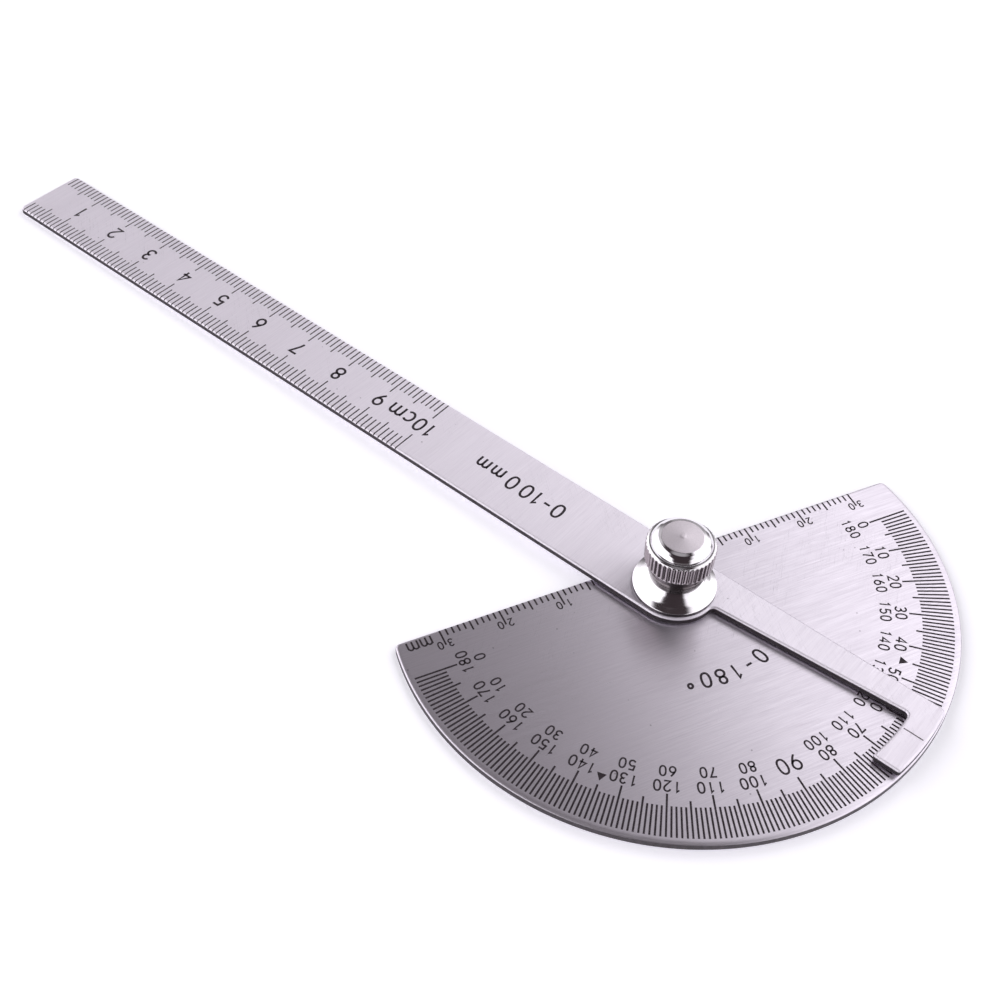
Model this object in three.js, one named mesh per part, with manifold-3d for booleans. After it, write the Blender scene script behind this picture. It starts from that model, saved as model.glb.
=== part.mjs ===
// Rotating-arm protractor: a semicircular dial plate, a rule arm that turns on
// a stud fixed in the plate, and a knurled nut that clamps the arm through a
// cup washer. Millimetres, +Z up.
//
// Origin: on the pivot axis, at the plate's underside. +X runs along the
// plate's straight edge to the 0 degree end of the dial, +Y points from the
// pivot to the straight edge. At rest the arm lies at ARM_ANGLE from +X.
import * as THREE from 'three';
import Module from 'manifold-3d';
import { mergeVertices } from 'three/addons/utils/BufferGeometryUtils.js';

const wasm = await Module();
wasm.setup();

// ---- driving dimensions, mm ------------------------------------------------
const PLATE_R = 44.8;          // dial rim, centred on the pivot
const PLATE_T = 1.2;           // sheet thickness
const EDGE_Y = 7.0;            // pivot to straight edge
const PLATE_CORNER_R = 1.0;    // the two corners of the straight edge
const EDGE_ROUND = 0.25;       // deburred edges of plate and arm

const SHIM_T = 0.26;           // friction shim between plate and arm
const SHIM_R = 5.8;
const SHIM_BORE_R = 2.3;
const SHIM_Z = PLATE_T + 0.02;

const ARM_Z = 1.5;             // underside of the arm
const ARM_T = 1.2;
const ARM_HALF_W = 7.0;        // half width of the blade, boss and hook
const ARM_TIP = 152.9;         // pivot to the square end of the rule
const TIP_CORNER_R = 0.9;
const ARM_BORE_R = 2.3;
const HOOK_RO = 44.6;          // outer arc of the pointer hook
const HOOK_RI = 40.25;         // inner arc of the pointer hook
const LINK_V_BOSS = -0.3;      // inner edge of the link where it leaves the boss
const LINK_V_HOOK = -2.9;      // inner edge of the link where it meets the hook
const BOSS_FILLET = 1.0;       // boss to link
const HOOK_FILLET = 0.8;       // link to hook
const HOOK_CORNER_R = 1.2;     // outer corner of the hook, in line with the rule
const ARM_ANGLE = 116.1;       // rest angle of the rule from +X, degrees

const STUD_R = 2.0;            // M4 stud
const STUD_TOP = 11.2;
const STUD_HEAD_R = 3.6;       // riveted head, flush with the underside
const SEAT_GAP = 0.03;         // head to countersink

const WASHER_Z = 2.75;         // underside of the cup washer
const WASHER_R = 6.65;
const WASHER_RIM = 0.75;       // height of its upright rim
const WASHER_BORE_R = 2.2;
const WASHER_TOP_Z = 5.3;
const WASHER_TOP_R = 3.9;

const NUT_Z = 5.35;            // underside of the clamp nut
const NUT_FOOT_R = 4.2;
const NUT_NECK_R = 4.75;
const KNURL_Z0 = 9.0;
const KNURL_Z1 = 12.5;
const KNURL_R0 = 5.4;          // crest radius at the lower end
const KNURL_R1 = 5.5;          // crest radius at the upper end
const KNURL_DEPTH = 0.2;
const KNURL_RIBS = 42;
const NUT_RING_R = 4.85;       // foot of the domed crown
const NUT_FACE_R = 3.3;        // edge of the end face
const NUT_FACE_Z = 14.05;
const NUT_PIP_Z = 14.3;
const NUT_BORE_R = 2.06;
const NUT_BORE_TOP = 11.8;

// ---- colours ---------------------------------------------------------------
const brushed = (c, r) => new THREE.MeshStandardMaterial({ color: c, roughness: r, metalness: 1 });
const PLATE_MAT = brushed(0xa29ea4, 0.38);
const ARM_MAT = brushed(0xcfcad2, 0.42);
const SHIM_MAT = brushed(0x6d6a6e, 0.6);
const STUD_MAT = brushed(0xb9b7ba, 0.3);
const WASHER_MAT = brushed(0xdedce0, 0.08);
const NUT_MAT = brushed(0xdcdade, 0.08);

// ---- solids ----------------------------------------------------------------
function solid(geometry) {
  const g = geometry.clone();
  for (const name of Object.keys(g.attributes)) if (name !== 'position') g.deleteAttribute(name);
  const m = mergeVertices(g, 1e-5);
  return new wasm.Manifold(new wasm.Mesh({
    numProp: 3,
    vertProperties: new Float32Array(m.attributes.position.array),
    triVerts: new Uint32Array(m.index.array),
  }));
}

function geometryOf(manifold) {
  const m = manifold.getMesh();
  const g = new THREE.BufferGeometry();
  const p = new Float32Array(m.numVert * 3);
  for (let i = 0; i < m.numVert; i++)
    for (let k = 0; k < 3; k++) p[i * 3 + k] = m.vertProperties[i * m.numProp + k];
  g.setAttribute('position', new THREE.BufferAttribute(p, 3));
  g.setIndex(new THREE.BufferAttribute(new Uint32Array(m.triVerts), 1));
  g.computeVertexNormals();
  return g;
}

// A closed solid of revolution about Z from [radius, z] pairs listed
// anticlockwise in the r-z plane (up the outside, down the inside).
function turned(profile, segments = 64) {
  const pts = profile.map(([r, z]) => new THREE.Vector2(r, z));
  const onAxis = profile[0][0] === 0 && profile[profile.length - 1][0] === 0;
  if (!onAxis) pts.push(pts[0].clone());
  const g = new THREE.LatheGeometry(pts, segments);
  g.rotateX(Math.PI / 2);
  return solid(g);
}

// Sheet-metal blank with rounded edges, from a shape in the XY plane.
function sheet(shape, z, t, curveSegments) {
  const g = new THREE.ExtrudeGeometry(shape, {
    depth: t - 2 * EDGE_ROUND,
    bevelEnabled: true,
    bevelThickness: EDGE_ROUND,
    bevelSize: EDGE_ROUND,
    bevelOffset: -EDGE_ROUND,
    bevelSegments: 2,
    curveSegments,
  });
  g.translate(0, 0, z + EDGE_ROUND);
  return solid(g);
}

function mesh(name, manifold, material) {
  const m = new THREE.Mesh(geometryOf(manifold), material);
  m.name = name;
  return m;
}

// Points of a circular arc, both ends included, angles in radians.
function arc(cx, cy, r, a0, a1, n) {
  const out = [];
  for (let i = 0; i <= n; i++) {
    const a = a0 + (a1 - a0) * i / n;
    out.push(new THREE.Vector2(cx + r * Math.cos(a), cy + r * Math.sin(a)));
  }
  return out;
}

// Joins point lists, leaving out any point that repeats the one before it.
function outline(...lists) {
  const out = [];
  for (const p of lists.flat())
    if (!out.length || out[out.length - 1].distanceTo(p) > 1e-3) out.push(p);
  if (out[0].distanceTo(out[out.length - 1]) < 1e-3) out.pop();
  return new THREE.Shape(out);
}

// ---- dial plate ------------------------------------------------------------
// Rim arc from the left corner round the bottom to the right corner, then back
// along the straight edge. Each corner is a fillet tangent to rim and edge.
const cornerY = EDGE_Y - PLATE_CORNER_R;
const cornerX = Math.sqrt((PLATE_R - PLATE_CORNER_R) ** 2 - cornerY ** 2);
const cornerA = Math.atan2(cornerY, cornerX);
const plateShape = outline(
  arc(0, 0, PLATE_R, Math.PI - cornerA, 2 * Math.PI + cornerA, 96),
  arc(cornerX, cornerY, PLATE_CORNER_R, cornerA, Math.PI / 2, 5),
  arc(-cornerX, cornerY, PLATE_CORNER_R, Math.PI / 2, Math.PI - cornerA, 5),
);
// The stud's riveted head sits in a countersink on the underside.
const countersink = turned([
  [0, -0.5], [STUD_HEAD_R + SEAT_GAP + 0.5, -0.5], [STUD_HEAD_R + SEAT_GAP, 0],
  [STUD_R + SEAT_GAP + 0.05, 0.85], [STUD_R + SEAT_GAP + 0.05, 2.0], [0, 2.0],
], 48);
const dialPlate = sheet(plateShape, 0, PLATE_T).subtract(countersink);

// ---- stud ------------------------------------------------------------------
const stud = turned([
  [0, 0], [STUD_HEAD_R - 0.03, 0], [STUD_R, 0.83], [STUD_R, STUD_TOP - 0.4],
  [STUD_R - 0.4, STUD_TOP], [0, STUD_TOP],
], 48);

// ---- friction shim ---------------------------------------------------------
const shim = turned([
  [SHIM_BORE_R, SHIM_Z], [SHIM_R, SHIM_Z], [SHIM_R, SHIM_Z + SHIM_T], [SHIM_BORE_R, SHIM_Z + SHIM_T],
], 48);

// ---- rule arm --------------------------------------------------------------
// Drawn with the rule along +x of the shape and its reading side at -y, then
// turned to the rest angle. One strip of constant width: square-ended rule,
// round boss, a narrow link that tapers, and a hook whose outer edge follows
// the rim of the dial.
const W = ARM_HALF_W;
// the link's inner edge: a point, its direction, and the normal into the notch
const linkP = new THREE.Vector2(-W, LINK_V_BOSS);
const linkD = new THREE.Vector2(-HOOK_RI, LINK_V_HOOK).sub(linkP).normalize();
const linkN = new THREE.Vector2(linkD.y, -linkD.x);
// centre of a fillet of radius r on that edge, at distance d from the pivot
function filletCentre(r, d) {
  const p = linkP.clone().addScaledVector(linkN, r);
  const b = p.dot(linkD);
  return p.addScaledVector(linkD, -b + Math.sqrt(b * b - p.lengthSq() + d * d));
}
const bossC = filletCentre(BOSS_FILLET, W + BOSS_FILLET);
const hookC = filletCentre(HOOK_FILLET, HOOK_RI - HOOK_FILLET);
const edgeA = Math.atan2(-linkN.y, -linkN.x);
const hookOuterA = Math.asin(W / HOOK_RO);
const hookInnerA = Math.asin(W / HOOK_RI);
const cornerYH = W - HOOK_CORNER_R;
const cornerAH = Math.asin(cornerYH / (HOOK_RO - HOOK_CORNER_R));
const cornerXH = -(HOOK_RO - HOOK_CORNER_R) * Math.cos(cornerAH);
const armShape = outline(
  // rule tip, rounded corners
  arc(ARM_TIP - TIP_CORNER_R, -W + TIP_CORNER_R, TIP_CORNER_R, -Math.PI / 2, 0, 4),
  arc(ARM_TIP - TIP_CORNER_R, W - TIP_CORNER_R, TIP_CORNER_R, 0, Math.PI / 2, 4),
  // along the blade to the boss, round the boss to the link
  arc(0, 0, W, Math.PI / 2, Math.atan2(bossC.y, bossC.x), 24),
  arc(bossC.x, bossC.y, BOSS_FILLET, Math.atan2(-bossC.y, -bossC.x), edgeA, 4),
  // along the link to the hook's inner arc
  arc(hookC.x, hookC.y, HOOK_FILLET, edgeA, Math.atan2(hookC.y, hookC.x), 4),
  arc(0, 0, HOOK_RI, Math.atan2(hookC.y, hookC.x) + 2 * Math.PI, Math.PI - hookInnerA, 8),
  // hook end, outer arc, and the corner in line with the rule
  arc(0, 0, HOOK_RO, Math.PI - hookOuterA, Math.PI + cornerAH, 16),
  arc(cornerXH, -cornerYH, HOOK_CORNER_R, Math.PI + cornerAH, 1.5 * Math.PI, 4),
);
const armBore = turned([[0, 0], [ARM_BORE_R, 0], [ARM_BORE_R, 5], [0, 5]], 48);
const ruleArm = sheet(armShape, ARM_Z, ARM_T)
  .rotate([0, 0, ARM_ANGLE])
  .subtract(armBore);

// ---- cup washer ------------------------------------------------------------
// Upright rim, conical top face, hollow underneath.
const cupWasher = turned([
  [WASHER_BORE_R, WASHER_TOP_Z - 1.0], [4.9, WASHER_Z + 0.55], [5.3, WASHER_Z],
  [WASHER_R - 0.1, WASHER_Z], [WASHER_R, WASHER_Z + 0.1], [WASHER_R, WASHER_Z + WASHER_RIM - 0.2],
  [WASHER_R - 0.06, WASHER_Z + WASHER_RIM - 0.06], [WASHER_R - 0.22, WASHER_Z + WASHER_RIM],
  [5.6, WASHER_Z + WASHER_RIM + 0.5], [4.7, WASHER_Z + WASHER_RIM + 1.2],
  [WASHER_TOP_R, WASHER_TOP_Z], [WASHER_BORE_R, WASHER_TOP_Z],
], 64);

// ---- clamp nut -------------------------------------------------------------
// Foot, tapered neck, knurled band, domed crown with a shallow pointed face;
// blind bore from below.
const nutBody = turned([
  [0, NUT_BORE_TOP + 0.6], [NUT_BORE_R, NUT_BORE_TOP], [NUT_BORE_R, NUT_Z],
  [NUT_FOOT_R - 0.15, NUT_Z], [NUT_FOOT_R, NUT_Z + 0.15], [4.5, 6.6], [4.68, 7.6],
  [NUT_NECK_R, KNURL_Z0], [KNURL_R0, KNURL_Z0],
  [KNURL_R1, KNURL_Z1], [NUT_RING_R + 0.1, KNURL_Z1 + 0.25], [NUT_RING_R, KNURL_Z1 + 0.35],
  [4.66, KNURL_Z1 + 0.7], [4.27, KNURL_Z1 + 1.07], [3.78, KNURL_Z1 + 1.37],
  [NUT_FACE_R, NUT_FACE_Z], [0.35, NUT_PIP_Z - 0.06], [0, NUT_PIP_Z],
], 72);
// V grooves between the ribs: one tapered prism, copied round the axis
let grooves = null;
for (let i = 0; i < KNURL_RIBS; i++) {
  const pitch = 2 * Math.PI * KNURL_R1 / KNURL_RIBS;
  const tri = new THREE.Shape([
    new THREE.Vector2(-KNURL_DEPTH, 0),
    new THREE.Vector2(0.6, -pitch * 0.34 - 0.25),
    new THREE.Vector2(0.6, pitch * 0.34 + 0.25),
  ]);
  const g = new THREE.ExtrudeGeometry(tri, { depth: KNURL_Z1 - KNURL_Z0 + 1.2, bevelEnabled: false });
  g.translate(0, 0, -0.6);
  g.rotateY(Math.atan2(KNURL_R1 - KNURL_R0, KNURL_Z1 - KNURL_Z0));
  g.translate(KNURL_R0, 0, KNURL_Z0);
  g.rotateZ(2 * Math.PI * i / KNURL_RIBS);
  const s = solid(g);
  grooves = grooves ? grooves.add(s) : s;
}
const band = turned([
  [NUT_NECK_R - 0.05, KNURL_Z0], [7, KNURL_Z0], [7, KNURL_Z1 + 0.12], [NUT_NECK_R - 0.05, KNURL_Z1 + 0.12],
], 72);
const clampNut = nutBody.subtract(grooves.intersect(band));

// ---- assembly --------------------------------------------------------------
const protractor = new THREE.Group();
protractor.add(
  mesh('dial_plate', dialPlate, PLATE_MAT),
  mesh('pivot_stud', stud, STUD_MAT),
  mesh('friction_shim', shim, SHIM_MAT),
  mesh('rule_arm', ruleArm, ARM_MAT),
  mesh('cup_washer', cupWasher, WASHER_MAT),
  mesh('clamp_nut', clampNut, NUT_MAT),
);

export default protractor;
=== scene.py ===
import math

import bpy
from mathutils import Matrix, Vector
from mathutils.geometry import delaunay_2d_cdt


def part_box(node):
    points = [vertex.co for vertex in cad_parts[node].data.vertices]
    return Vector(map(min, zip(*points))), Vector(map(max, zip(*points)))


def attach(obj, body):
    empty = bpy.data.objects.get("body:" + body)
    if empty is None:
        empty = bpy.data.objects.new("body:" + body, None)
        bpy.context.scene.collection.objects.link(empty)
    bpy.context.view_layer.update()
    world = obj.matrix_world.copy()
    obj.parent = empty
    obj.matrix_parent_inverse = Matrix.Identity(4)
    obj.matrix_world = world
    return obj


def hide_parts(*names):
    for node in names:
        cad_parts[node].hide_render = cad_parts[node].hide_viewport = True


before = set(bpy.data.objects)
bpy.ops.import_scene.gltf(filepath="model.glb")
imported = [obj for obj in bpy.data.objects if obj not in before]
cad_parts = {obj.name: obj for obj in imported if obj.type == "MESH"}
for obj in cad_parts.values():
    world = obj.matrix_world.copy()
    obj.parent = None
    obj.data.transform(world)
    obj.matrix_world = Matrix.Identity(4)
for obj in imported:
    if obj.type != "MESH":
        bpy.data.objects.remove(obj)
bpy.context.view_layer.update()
MM = 0.001


def cad(node):
    """Lowest and highest corner of a CAD node's box."""
    return [[v * 1000 for v in corner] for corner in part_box(node)]


# ---- dimensions -------------------------------------------------------------
PLATE_R, EDGE_Y, PLATE_TOP = cad("dial_plate")[1]
(_, _, ARM_Z), (_, _, ARM_TOP) = cad("rule_arm")
(_, _, SHIM_Z), (SHIM_R, _, SHIM_TOP) = cad("friction_shim")
(_, _, WASHER_Z), (WASHER_R, _, WASHER_TOP) = cad("cup_washer")
(_, _, NUT_Z), (_, _, NUT_TOP) = cad("clamp_nut")
STUD_TOP = cad("pivot_stud")[1][2]

# dial plate
PLATE_CORNER_R = 1.0
RIM_W, RIM_D = 0.88, 0.27                # width and depth of the rim's roll-over
EDGE_W, EDGE_D = 0.5, 0.3                # the same for the straight edge
RIM_POWER = 2.7                          # over 2: flatter above, tighter at the foot
PLATE_HOLE_R = 2.1                       # at the top of the countersunk hole
SINK_DEPTH = 0.86                        # of the countersink, from the underside

# rule arm, in its own frame: s runs from the pivot to the tip, v across it
ARM_ANGLE = math.radians(116.1)
ARM_HALF_W = 7.0
ARM_TIP = 152.9
TIP_CORNER_R = 0.9
ARM_BORE_R = 2.32
ARM_EDGE_W, ARM_EDGE_D = 0.42, 0.34      # rounding of the top edges
HOOK_OUTER_R, HOOK_INNER_R = 44.6, 40.25
HOOK_CORNER_R, HOOK_END_R = 1.2, 0.45
LINK_V_BOSS, LINK_V_HOOK = -0.3, -2.9    # the link's +v edge, at the boss and at the hook
BOSS_FILLET, HOOK_FILLET = 1.0, 0.8

# pivot parts
SIZE_PLAY = 0.002                        # shim and washer stay this far inside their CAD radius
SHIM_BORE_R = 2.32
HEAD_R = 3.6                             # flush stud head
SHANK_R = 2.0
THREAD_Z, THREAD_PITCH = 2.78, 0.7
STUD_TIP_H = 0.36
KNURL_LO, KNURL_HI = 9.0, 12.5           # the nut's knurled band
RIBS, STEPS_PER_RIB = 42, 10

# printed marks: proud of the steel and let into it
INK_UP, INK_DOWN = 0.008, 0.02
# points of a mark that runs over a rounded edge, in degrees from its flat side
EDGE_ANGLES = (0, 12, 24, 36, 48, 60, 68)


# ---- mesh helpers -----------------------------------------------------------
def make(name, verts, faces, material, body, replaces=None, normals=None, sharp=None):
    """Smooth-shaded object; give custom normals or an angle for sharp edges."""
    mesh = bpy.data.meshes.new(name)
    mesh.from_pydata([(x * MM, y * MM, z * MM) for x, y, z in verts], [], faces)
    mesh.update()
    mesh.polygons.foreach_set("use_smooth", [True] * len(mesh.polygons))
    if sharp is not None:
        mesh.set_sharp_from_angle(angle=math.radians(sharp))
    if normals is not None:
        mesh.normals_split_custom_set_from_vertices(normals)
    mesh.materials.append(material)
    ob = bpy.data.objects.new(name, mesh)
    bpy.context.scene.collection.objects.link(ob)
    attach(ob, body)
    if replaces:
        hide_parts(replaces)


def clamp(value):
    return max(0.0, min(1.0, value))


def arc(cx, cy, radius, start, end, steps):
    angles = [start + (end - start) * i / steps for i in range(steps + 1)]
    return [(cx + radius * math.cos(a), cy + radius * math.sin(a)) for a in angles]


def circle(radius, steps):
    return arc(0, 0, radius, 0, 2 * math.pi, steps)[:-1]


def join_points(*lists):
    """One closed loop out of several runs, without doubled points."""
    out = []
    for points in lists:
        for p in points:
            if not out or math.dist(out[-1], p) > 1e-3:
                out.append(p)
    if math.dist(out[0], out[-1]) < 1e-3:
        out.pop()
    return out


def mitres(points, closed, floor):
    """Per point: the unit normal to the left of the path, and how many times
    further a mitred offset reaches there (at most 1 / floor)."""
    count = len(points)
    sides = []
    for i in range(count if closed else count - 1):
        (x0, y0), (x1, y1) = points[i], points[(i + 1) % count]
        length = math.hypot(x1 - x0, y1 - y0)
        sides.append(((y0 - y1) / length, (x1 - x0) / length))
    out = []
    for i in range(count):
        before = sides[i - 1] if closed or i else sides[0]
        after = sides[i] if i < len(sides) else sides[-1]
        x, y = before[0] + after[0], before[1] + after[1]
        length = math.hypot(x, y)
        x, y = x / length, y / length
        out.append((x, y, 1 / max(floor, x * before[0] + y * before[1])))
    return out


def cap_faces(verts, rings, up):
    """Triangles between rings of vertices, each given as (start, count)."""
    index, points, edges = [], [], []
    for start, count in rings:
        base = len(points)
        for i in range(count):
            points.append(Vector(verts[start + i][:2]))
            index.append(start + i)
            edges.append((base + i, base + (i + 1) % count))
    placed, _, cells, origin, _, _ = delaunay_2d_cdt(points, edges, [], 0, 1e-7)
    if len(placed) != len(points):
        raise RuntimeError("cap outline touches itself")
    # keep what lies to the left of the loops: outer ones run anticlockwise,
    # holes clockwise, and the triangles anticlockwise
    triangles = [tuple(origin[i][0] for i in cell) for cell in cells if len(cell) == 3]
    owner = {}
    for k, (a, b, c) in enumerate(triangles):
        owner[a, b] = owner[b, c] = owner[c, a] = k
    border = set(edges)
    todo = [owner[e] for e in edges if e in owner]
    kept = set(todo)
    while todo:
        a, b, c = triangles[todo.pop()]
        for edge in ((a, b), (b, c), (c, a)):
            back = edge[::-1]
            if edge not in border and back in owner and owner[back] not in kept:
                kept.add(owner[back])
                todo.append(owner[back])
    faces = [tuple(index[i] for i in triangles[k]) for k in sorted(kept)]
    return faces if up else [face[::-1] for face in faces]


def sheet_solid(outer, hole, bottom, top, top_w, top_d, low_r, steps=7, power=2.0):
    """Sheet with one hole and rounded rims: above, a roll-over top_w wide and
    top_d deep (one number per outer point), below, a small radius low_r. The
    hole has a small radius both ways. Returns verts, faces, normals."""
    verts, faces, normals = [], [], []

    def wall(points, widths, depths, low, steps, power):
        corners = mitres(points, closed=True, floor=0.5)
        count = len(points)
        # rows of (inward offset, z, outward part and upward part of the normal)
        rows = []
        for k in range(steps + 1):
            a = -math.pi / 2 + math.pi / 2 * k / steps
            rows.append([(low * (1 - math.cos(a)), bottom + low * (1 + math.sin(a)),
                          math.cos(a) / low, math.sin(a) / low)] * count)
        for k in range(steps + 1):
            a = math.pi / 2 * k / steps
            c = 0.0 if k == steps else math.cos(a) ** (2 / power)
            s = math.sin(a) ** (2 / power)
            rows.append([(w * (1 - c), top - d + d * s, c ** (power - 1) / w, s ** (power - 1) / d)
                         for w, d in zip(widths, depths)])
        starts = []
        for row in rows:
            starts.append(len(verts))
            for (x, y), (mx, my, reach), (offset, z, out, up) in zip(points, corners, row):
                verts.append((x + mx * reach * offset, y + my * reach * offset, z))
                size = math.hypot(out, up)
                normals.append((-mx * out / size, -my * out / size, up / size))
        for low_start, high_start in zip(starts, starts[1:]):
            for i in range(count):
                j = (i + 1) % count
                faces.append((low_start + i, low_start + j, high_start + j, high_start + i))
        return (starts[0], count), (starts[-1], count)

    outer_rings = wall(outer, top_w, top_d, low_r, steps, power)
    hole_r = 0.12
    same = [hole_r] * len(hole)
    # clockwise, so that the left of the path is the sheet, away from the hole
    hole_rings = wall(hole[::-1], same, same, hole_r, 3, 2.0)
    faces += cap_faces(verts, (outer_rings[0], hole_rings[0]), up=False)
    faces += cap_faces(verts, (outer_rings[1], hole_rings[1]), up=True)
    return verts, faces, normals


def add_row(verts, radius, z, segments, cut=lambda i: 0.0):
    """Adds a ring about Z, or one point on the axis, and returns its indices.
    cut(i) is taken off the radius at step i."""
    start = len(verts)
    if radius < 1e-9:
        verts.append((0.0, 0.0, z))
        return [start]
    for i in range(segments):
        a = 2 * math.pi * i / segments
        r = radius - cut(i)
        verts.append((r * math.cos(a), r * math.sin(a), z))
    return list(range(start, start + segments))


def skin(faces, low, high, flip=False):
    """Faces between two rows; either may be a single point on the axis."""
    count = max(len(low), len(high))
    for i in range(count):
        j = (i + 1) % count
        if len(low) == 1:
            face = (low[0], high[j], high[i])
        elif len(high) == 1:
            face = (low[i], low[j], high[0])
        else:
            face = (low[i], low[j], high[j], high[i])
        faces.append(face[::-1] if flip else face)


def lathe(profile, segments):
    """Ring-shaped solid from a closed (radius, z) profile: up the outside,
    back down the bore."""
    verts, faces = [], []
    rows = [add_row(verts, r, z, segments) for r, z in profile]
    for low, high in zip(rows, rows[1:] + rows[:1]):
        skin(faces, low, high)
    return verts, faces


def round_corners(stations, steps):
    """Profile through (radius, z, corner radius) stations; 0 keeps a corner sharp."""
    out = []
    for i, (x, z, corner_r) in enumerate(stations):
        if corner_r == 0:
            out.append((x, z))
            continue
        (x0, z0, _), (x1, z1, _) = stations[i - 1], stations[i + 1]
        back, ahead = (x0 - x, z0 - z), (x1 - x, z1 - z)
        back_len, ahead_len = math.hypot(*back), math.hypot(*ahead)
        back = (back[0] / back_len, back[1] / back_len)
        ahead = (ahead[0] / ahead_len, ahead[1] / ahead_len)
        half = math.acos(back[0] * ahead[0] + back[1] * ahead[1]) / 2
        # a corner takes up at most 0.45 of the sides it joins
        reach = min(corner_r / math.tan(half), 0.45 * back_len, 0.45 * ahead_len)
        radius = reach * math.tan(half)
        middle = (back[0] + ahead[0], back[1] + ahead[1])
        to_centre = radius / math.sin(half) / math.hypot(*middle)
        cx, cz = x + middle[0] * to_centre, z + middle[1] * to_centre
        start = math.atan2(z + back[1] * reach - cz, x + back[0] * reach - cx)
        end = math.atan2(z + ahead[1] * reach - cz, x + ahead[0] * reach - cx)
        turn = math.remainder(end - start, 2 * math.pi)
        out += arc(cx, cz, radius, start, start + turn, steps)
    return out


# ---- printed marks ----------------------------------------------------------
def bow(cx, cy, rx, ry, start, end, steps, power=2.0):
    """Part of an ellipse, in degrees; a power over 2 squares it off."""
    out = []
    for i in range(steps + 1):
        a = math.radians(start + (end - start) * i / steps)
        c, s = math.cos(a), math.sin(a)
        out.append((cx + rx * math.copysign(abs(c) ** (2 / power), c),
                    cy + ry * math.copysign(abs(s) ** (2 / power), s)))
    return out


def oval(cx, cy, rx, ry, steps, start=90, power=2.0):
    """A closed stroke."""
    return bow(cx, cy, rx, ry, start, start + 360, steps, power)[:-1], True


def line(points):
    """An open stroke."""
    return points, False


# Strokes of each character, 1 high and centred on the origin
GLYPHS = {
    "0": [oval(0, 0, 0.27, 0.5, 28, power=2.35)],
    "1": [line([(-0.17, 0.3), (0.03, 0.5), (0.03, -0.5)])],
    "2": [line(bow(0, 0.23, 0.26, 0.27, 172, -28, 14)
               + [(0.17, -0.02), (-0.27, -0.5), (0.28, -0.5)])],
    "3": [line(bow(0, 0.25, 0.235, 0.25, 158, -90, 14)
               + bow(0, -0.24, 0.265, 0.26, 88, -158, 15))],
    "4": [line([(0.12, -0.5), (0.12, 0.5), (-0.29, -0.2), (0.29, -0.2)])],
    "5": [line([(0.24, 0.5), (-0.19, 0.5), (-0.235, 0.06)]
               + bow(0, -0.2, 0.265, 0.3, 122, -152, 15))],
    "6": [line([(0.14, 0.5), (0.0, 0.34), (-0.13, 0.14), (-0.22, -0.03)]),
          oval(0, -0.2, 0.265, 0.3, 22)],
    "7": [line([(-0.27, 0.5), (0.27, 0.5), (0.1, 0.12), (-0.04, -0.22), (-0.1, -0.5)])],
    "8": [oval(0, 0.26, 0.225, 0.24, 20, start=-90), oval(0, -0.24, 0.27, 0.26, 22)],
    "9": [line([(-0.14, -0.5), (0.0, -0.34), (0.13, -0.14), (0.22, 0.03)]),
          oval(0, 0.2, 0.265, 0.3, 22)],
    "c": [line(bow(0, -0.17, 0.26, 0.33, 48, 312, 16))],
    "m": [line([(-0.36, -0.5), (-0.36, 0.16)]),
          line([(-0.36, -0.02)] + bow(-0.18, -0.06, 0.18, 0.22, 160, 0, 9) + [(0.0, -0.5)]),
          line([(0.0, -0.02)] + bow(0.18, -0.06, 0.18, 0.22, 160, 0, 9) + [(0.36, -0.5)])],
    "-": [line([(-0.2, 0.0), (0.2, 0.0)])],
    "o": [oval(0, 0.33, 0.14, 0.16, 14)],
}


class Marks:
    """Closed thin prisms gathered into one mesh. surface(x, y) gives the point
    of the face there and its normal."""

    def __init__(self, surface):
        self.surface = surface
        self.verts, self.faces = [], []

    def vertex(self, x, y, height):
        point, normal = self.surface(x, y)
        self.verts.append(tuple(p + n * height for p, n in zip(point, normal)))

    def ribbon(self, points, width, closed=False):
        base, count = len(self.verts), len(points)
        for (x, y), (mx, my, reach) in zip(points, mitres(points, closed, floor=0.55)):
            for side in (-width / 2, width / 2):
                for height in (-INK_DOWN, INK_UP):
                    self.vertex(x + mx * reach * side, y + my * reach * side, height)
        # per point: 0 right low, 1 right high, 2 left low, 3 left high
        for i in range(count if closed else count - 1):
            a, b = base + 4 * i, base + 4 * ((i + 1) % count)
            self.faces += [(a + 1, b + 1, b + 3, a + 3), (a + 2, b + 2, b, a),
                           (a, b, b + 1, a + 1), (a + 3, b + 3, b + 2, a + 2)]
        if not closed:
            a, b = base, base + 4 * (count - 1)
            self.faces += [(a + 2, a, a + 1, a + 3), (b, b + 2, b + 3, b + 1)]

    def text(self, string, x, y, up, height, stroke, pitch=0.0):
        """Characters centred on (x, y); up is the unit vector to their tops."""
        read = (up[1], -up[0])
        for i, char in enumerate(string):
            along = (i - (len(string) - 1) / 2) * pitch
            cx, cy = x + read[0] * along, y + read[1] * along
            for points, closed in GLYPHS[char]:
                placed = [(cx + (px * read[0] + py * up[0]) * height,
                           cy + (px * read[1] + py * up[1]) * height) for px, py in points]
                self.ribbon(placed, stroke, closed)

    def patch(self, points):
        """A filled convex outline, anticlockwise."""
        base, count = len(self.verts), len(points)
        for height in (-INK_DOWN, INK_UP):
            for x, y in points:
                self.vertex(x, y, height)
        self.faces.append(tuple(range(base + count, base + 2 * count)))
        self.faces.append(tuple(range(base + count - 1, base - 1, -1)))
        for i in range(count):
            j = (i + 1) % count
            self.faces.append((base + i, base + j, base + count + j, base + count + i))


def graded(k, ten, five, one):
    """Size of the k-th division of a scale."""
    return ten if k % 10 == 0 else five if k % 5 == 0 else one


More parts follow.
